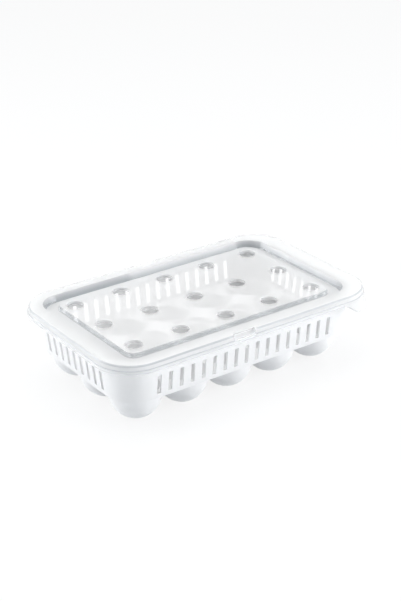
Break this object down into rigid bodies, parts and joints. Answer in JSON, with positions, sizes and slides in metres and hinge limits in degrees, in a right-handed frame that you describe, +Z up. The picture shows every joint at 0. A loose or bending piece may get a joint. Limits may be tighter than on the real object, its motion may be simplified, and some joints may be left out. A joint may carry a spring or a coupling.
{
  "type": "egg keeper",
  "caption": "Slotted basket with a grid of rounded egg cups and a clear perforated lid with a pull tab that lifts off, for keeping eggs in a refrigerator.",
  "frame": {"origin": "On the surface the keeper stands on, under the middle cup of the grid.", "axes": "+X along the long row of cups towards the side with the pull tab, -Y the long side that the tab's corner belongs to, +Z up."},
  "size_m": [0.2947, 0.1872, 0.0721],
  "materials": {
    "basket_plastic": "white moulded plastic, satin",
    "clear_plastic": "clear moulded plastic, slightly frosted"
  },
  "bodies": {
    "basket": {"basket_wall": "basket_plastic", "basket_deck": "basket_plastic", "basket_cups": "basket_plastic"},
    "lid": {"lid_rim": "clear_plastic", "lid_panel": "clear_plastic"}
  },
  "joints": [
    {"name": "lid_lift", "type": "slide", "parent": "basket", "child": "lid", "axis": [0, 0, 1], "range_m": [0, 0.06]}
  ]
}
